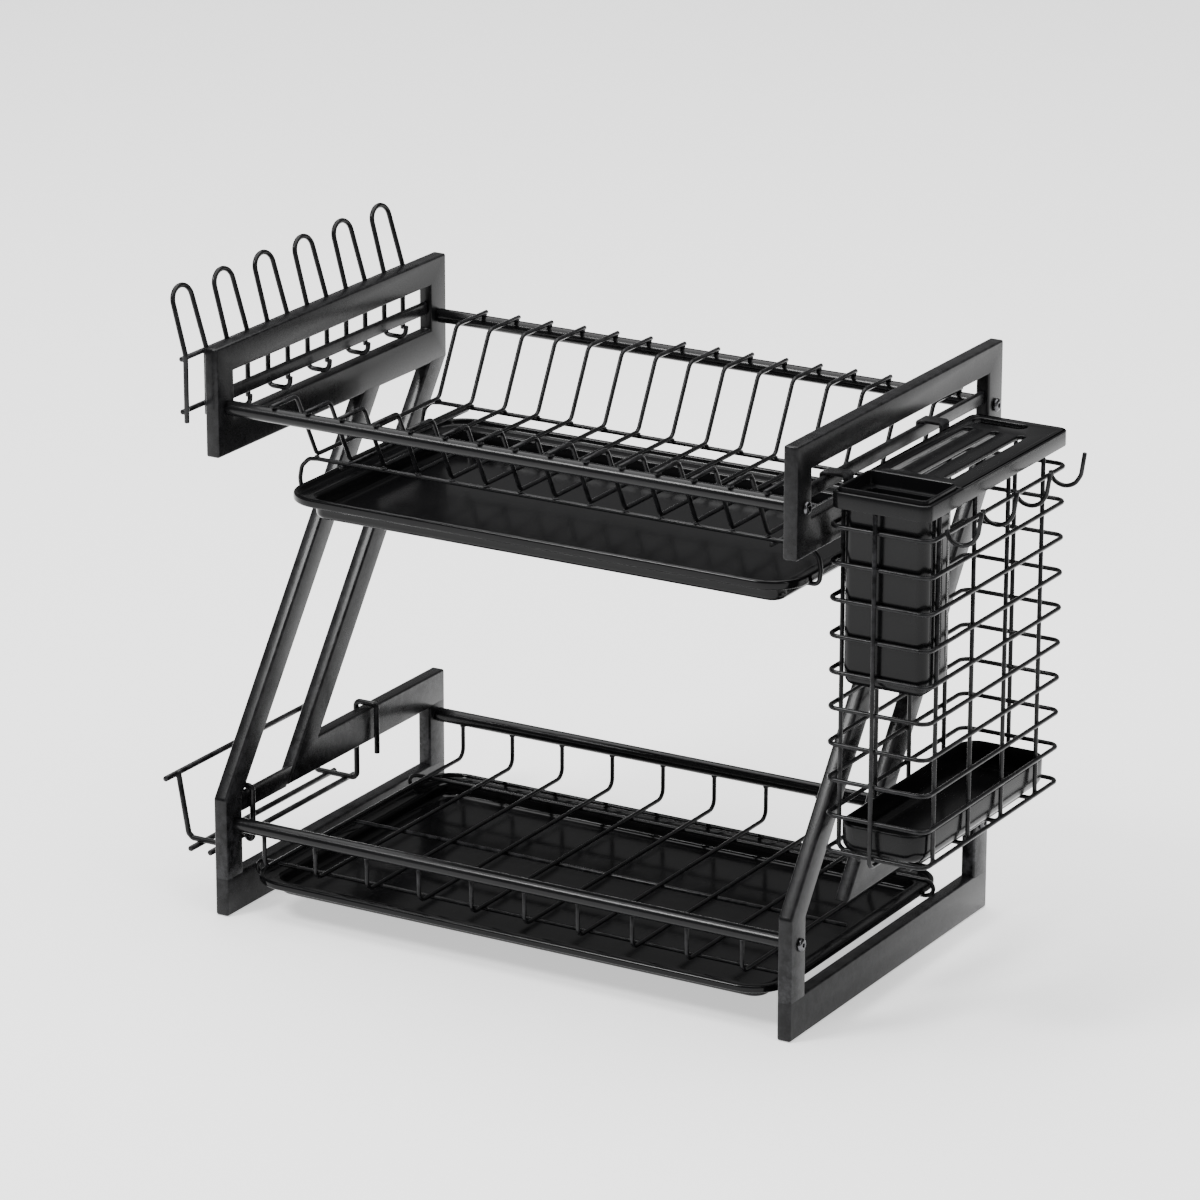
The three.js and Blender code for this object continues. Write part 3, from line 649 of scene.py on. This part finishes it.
for i, y in enumerate(ups):
    x = bx1 + WR + GAP + WR
    node = "utensil_hook_%d" % (i + 1)
    wires(node + "_wire", [([(x, y, 350), (x + 0.8, y, 346), (x + 4.6, y, 342.6), (x + 11, y, 341.4), (x + 17.5, y, 344), (x + 21.6, y, 350.5), (x + 23.8, y, 365.4)], WR, False, 9.0)],
          [node], "frame")

# ------------------------------------------------------------------ plastic top of the basket
def plate_with_holes(name, outer, holes, z0, z1, bevel):
    cu = bpy.data.curves.new(name, "CURVE")
    cu.dimensions = "2D"
    cu.fill_mode = "BOTH"
    for pts in [outer] + holes:
        sp = cu.splines.new("POLY")
        sp.points.add(len(pts) - 1)
        for k, (px, py) in enumerate(pts):
            sp.points[k].co = (px / 1000, py / 1000, 0, 1)
        sp.use_cyclic_u = True
    cu.extrude = (z1 - z0) / 2000 - bevel / 1000
    cu.bevel_depth = bevel / 1000
    cu.bevel_resolution = 2
    ob = bpy.data.objects.new(name + "_curve", cu)
    bpy.context.scene.collection.objects.link(ob)
    dg = bpy.context.evaluated_depsgraph_get()
    me = bpy.data.meshes.new_from_object(ob.evaluated_get(dg))
    bpy.data.objects.remove(ob)
    bpy.data.curves.remove(cu)
    me.transform(Matrix.Translation(D(0, 0, (z0 + z1) / 2)))
    bm = bmesh.new()
    bm.from_mesh(me)
    bpy.data.meshes.remove(me)
    bmesh.ops.remove_doubles(bm, verts=bm.verts[:], dist=1e-6)
    return bm


KB = 0.8
kx0, kx1, ky0, ky1, kz0, kz1 = 457.0, 526.8, 18.0, 217.5, 358.4, 369.0
# the plate starts behind the mouth of the cup, the rim runs all the way round
rear = rr(kx0 + KB, kx1 - KB, ky0 + KB, ky1 - KB, 7 - KB, 6)
outer = [q for q in rear if q[1] > 100]
outer = outer[:len(outer)] + [(kx0 + KB, 66.0 + KB), (kx1 - KB, 66.0 + KB)]
holes = []
for x in (470, 489, 508):
    holes.append(rr(x - 3 - KB, x + 3 + KB, 80 - KB, 187 + KB, 3 + KB, 5))
holes.append(rr(463 - KB, 502 + KB, 199 - KB, 210 + KB, 5.4 + KB, 5))
bm = plate_with_holes("knife_frame_top", outer, [list(reversed(h)) for h in holes], kz1 - 3.2, kz1, KB)


def ring_wall(bm, box, r, prof, n=6):
    """A closed ring: profile [(inset, z)] goes round and joins itself."""
    x0, x1, y0, y1 = box
    rings = []
    for inset, z in prof:
        pts = rr(x0 + inset, x1 - inset, y0 + inset, y1 - inset, r - inset, n)
        rings.append([bm.verts.new(D(px, py, z)) for px, py in pts])
    m = len(rings[0])
    for a, b in zip(rings, rings[1:] + rings[:1]):
        for k in range(m):
            bm.faces.new((a[k], a[(k + 1) % m], b[(k + 1) % m], b[k]))


ring_wall(bm, (kx0, kx1, ky0, ky1), 7, [(0.0, kz1 - 0.9), (0.0, kz0 + 0.8), (0.25, kz0 + 0.25), (0.8, kz0), (2.2, kz0), (2.75, kz0 + 0.25), (3.0, kz0 + 0.8), (3.0, kz1 - 0.6), (2.8, kz1 - 0.15), (2.3, kz1), (0.9, kz1), (0.25, kz1 - 0.3)])
# a low bead along the outer edge
ridge = [(0.0, 0.0), (0.5, 0.28), (1.2, 0.4), (1.9, 0.28), (2.4, 0.0), (1.9, -0.35), (0.5, -0.35)]
rows = []
for y, k in ((84.0, 0.15), (85.0, 0.6), (87.0, 1.0), (205.0, 1.0), (207.0, 0.6), (208.0, 0.15)):
    rows.append([bm.verts.new(D(kx1 - 5.6 + 1.2 + (a - 1.2) * (0.5 + 0.5 * k), y, kz1 - 0.02 + b * (k if b > 0 else 1.0))) for a, b in ridge])
for p, q in zip(rows, rows[1:]):
    for k in range(7):
        bm.faces.new((p[k], p[(k + 1) % 7], q[(k + 1) % 7], q[k]))
bm.faces.new(list(reversed(rows[0])))
bm.faces.new(rows[-1])
# the pocket of the cup: a ledge that it hangs on and a bar behind it
zl = kz0 + 2.0
lb = plate_with_holes("cup_ledge", rr(kx0 + 1.4, kx1 - 1.4, ky0 + 1.4, 67.2, 5.6, 6),
                      [list(reversed(rr(463.2 - 0.3, 523.3 + 0.3, 23.2 - 0.3, 60.9 + 0.3, 7.7, 6)))], kz0 + 0.05, zl, 0.3)
ledge = bpy.data.meshes.new("cup_ledge")
lb.to_mesh(ledge)
lb.free()
bm.from_mesh(ledge)
bpy.data.meshes.remove(ledge)
bar = [(66.1, kz0 + 0.6), (66.5, kz0 + 0.1), (67.6, kz0 + 0.1), (68.0, kz0 + 0.6), (68.0, kz1 - 1.0), (67.6, kz1 - 0.6), (66.5, kz1 - 0.6), (66.1, kz1 - 1.0)]
ends = [[bm.verts.new(D(x, y, z)) for y, z in bar] for x in (kx0 + 2.0, kx1 - 2.0)]
for k in range(8):
    bm.faces.new((ends[0][k], ends[0][(k + 1) % 8], ends[1][(k + 1) % 8], ends[1][k]))
bm.faces.new(list(reversed(ends[0])))
bm.faces.new(ends[1])
finish_piece("knife_frame_cap", bm, M_BASKET, ["knife_frame"], "knife_frame", angle=40.0)

# cutlery cup: flared mouth, shoulder on the wires, drafted walls, rounded foot and ribs
bm = bmesh.new()
cx0, cx1, cy0, cy1, cz0 = 463.6, 522.9, 23.6, 60.5, 240.0
zs, zt = 360.7, 371.6


def cup_ring(k, inset, z):
    """k runs from the body's outline, 0, to the mouth's, 1."""
    mx0, mx1, my0, my1 = 460.4, 523.4, 21.4, 65.6
    x0, x1 = cx0 + (mx0 - cx0) * k + inset, cx1 + (mx1 - cx1) * k - inset
    y0, y1 = cy0 + (my0 - cy0) * k + inset, cy1 + (my1 - cy1) * k - inset
    return [bm.verts.new(D(px, py, z)) for px, py in rr(x0, x1, y0, y1, 7 - 2.8 * k - inset, 8)]


prof = [(0, 12, cz0), (0, 7.2, cz0), (0, 4.4, cz0 + 0.7), (0, 2.2, cz0 + 2.2), (0, 0.8, cz0 + 4.6), (0, 0.2, cz0 + 7.5), (0, 0.0, cz0 + 12), (0, 0, zs - 0.6), (0.12, 0, zs - 0.05), (0.3, 0, zs),
        (0.85, 0, zs), (0.97, 0, zs + 0.3), (1, 0, zs + 1.0), (1, 0, zt - 0.7), (1, 0.25, zt - 0.15), (1, 0.8, zt), (1, 1.2, zt), (1, 1.6, zt - 0.2), (1, 1.8, zt - 0.8),
        (1, 1.8, zs + 2.6), (0.95, 1.8, zs + 1.95), (0.8, 1.8, zs + 1.8), (0.25, 2, zs + 1.8), (0.05, 2, zs + 1.4), (0, 2.0, zs + 0.4),
        (0, 2.0, cz0 + 12), (0, 2.3, cz0 + 8), (0, 3.4, cz0 + 5), (0, 5.4, cz0 + 2.9), (0, 8.4, cz0 + 2.1), (0, 12, cz0 + 2.0)]
rings = [cup_ring(*q) for q in prof]
for p, q in zip(rings, rings[1:]):
    for k in range(len(p)):
        bm.faces.new((p[k], p[(k + 1) % len(p)], q[(k + 1) % len(q)], q[k]))
bm.faces.new(list(reversed(rings[0])))
bm.faces.new(rings[-1])
for k in range(4):
    blob(bm, (cx1 - 0.15, 31.5 + 7.0 * k, 300), 0.6, 1.1, 50, 8, 12)
finish_piece("cutlery_cup_shell", bm, M_BASKET, ["cutlery_cup"], "cutlery_cup", angle=45.0)

bm = bmesh.new()
tz0, tz1 = 126.4, 147.0
prof = [(16, tz0), (8, tz0), (4.8, tz0 + 0.8), (2.2, tz0 + 2.6), (0.6, tz0 + 5.4), (0.2, tz0 + 9), (0.0, tz1 - 1.4), (0.3, tz1 - 0.4), (0.9, tz1), (1.5, tz1 - 0.2), (1.9, tz1 - 1.0),
        (2.0, tz0 + 9), (2.5, tz0 + 6), (4.0, tz0 + 3.6), (6.4, tz0 + 2.3), (9, tz0 + 2.0), (16, tz0 + 2.0)]
lofted(bm, (461, 522, 24.5, 210.5), 14, prof, 8)
finish_piece("basket_drip_tray_shell", bm, M_BASKET, ["basket_drip_tray"], "basket_drip_tray", angle=45.0)

# ------------------------------------------------------------------ stage, lights and camera
bm = bmesh.new()
bmesh.ops.create_grid(bm, x_segments=1, y_segments=1, size=6.0)
me = bpy.data.meshes.new("floor")
bm.to_mesh(me)
bm.free()
floor = bpy.data.objects.new("floor", me)
bpy.context.scene.collection.objects.link(floor)
floor.location = (0, 0, -0.0002)
mf, t, b = tree("pale_floor")
co = t.nodes.new("ShaderNodeTexCoord").outputs["Object"]
t.links.new(mixc(t, noise(t, co, 3.0, 2.0), (0.86, 0.86, 0.86, 1), (0.89, 0.89, 0.89, 1)), b.inputs["Base Color"])
b.inputs["Roughness"].default_value = 0.7
b.inputs["Emission Color"].default_value = (1.0, 1.0, 1.0, 1.0)
b.inputs["Emission Strength"].default_value = 0.8
me.materials.append(mf)

world = bpy.data.worlds.new("studio")
world.use_nodes = True
world.node_tree.nodes["Background"].inputs[0].default_value = (1.0, 1.0, 1.0, 1)
world.node_tree.nodes["Background"].inputs[1].default_value = 0.22
bpy.context.scene.world = world


def area(name, loc, target, sx, sy, power):
    li = bpy.data.lights.new(name, "AREA")
    li.shape = "RECTANGLE"
    li.size, li.size_y, li.energy = sx, sy, power
    ob = bpy.data.objects.new(name, li)
    bpy.context.scene.collection.objects.link(ob)
    ob.location = loc
    ob.rotation_euler = (Vector(target) - Vector(loc)).to_track_quat("-Z", "Y").to_euler()
    return ob


area("key", (-1.3, -1.9, 2.6), (0, 0, 0.1), 0.8, 0.8, 95)
area("side", (2.3, -0.9, 1.5), (0, 0, 0.2), 0.25, 1.6, 9)
area("top", (0.0, 0.6, 3.4), (0, 0.4, 0.0), 5.0, 4.0, 300)

# the camera fitted to the reference view
AZ, EL, ROLL = math.radians(30.313), math.radians(18.403), math.radians(0.084)
TX, TY, DIST, FOCAL = -0.214, -21.151, 3860.8, 5760.3
ref = Vector((220, 140, 200))
f = Vector((-math.sin(AZ) * math.cos(EL), math.cos(AZ) * math.cos(EL), -math.sin(EL)))
r_ = f.cross(Vector((0, 0, 1))).normalized()
u_ = r_.cross(f)
r2 = math.cos(ROLL) * r_ + math.sin(ROLL) * u_
u2 = -math.sin(ROLL) * r_ + math.cos(ROLL) * u_
C = ref - TX * r2 - TY * u2 - DIST * f
cam_data = bpy.data.cameras.new("camera")
cam_data.sensor_width = 36.0
cam_data.lens = FOCAL * 36.0 / 1200.0
cam_data.clip_end = 50.0
cam = bpy.data.objects.new("camera", cam_data)
bpy.context.scene.collection.objects.link(cam)
m = Matrix((( r2.x, u2.x, -f.x, 0), (r2.y, u2.y, -f.y, 0), (r2.z, u2.z, -f.z, 0), (0, 0, 0, 1)))
cam.matrix_world = Matrix.Translation(D(*C)) @ m
bpy.context.scene.camera = cam
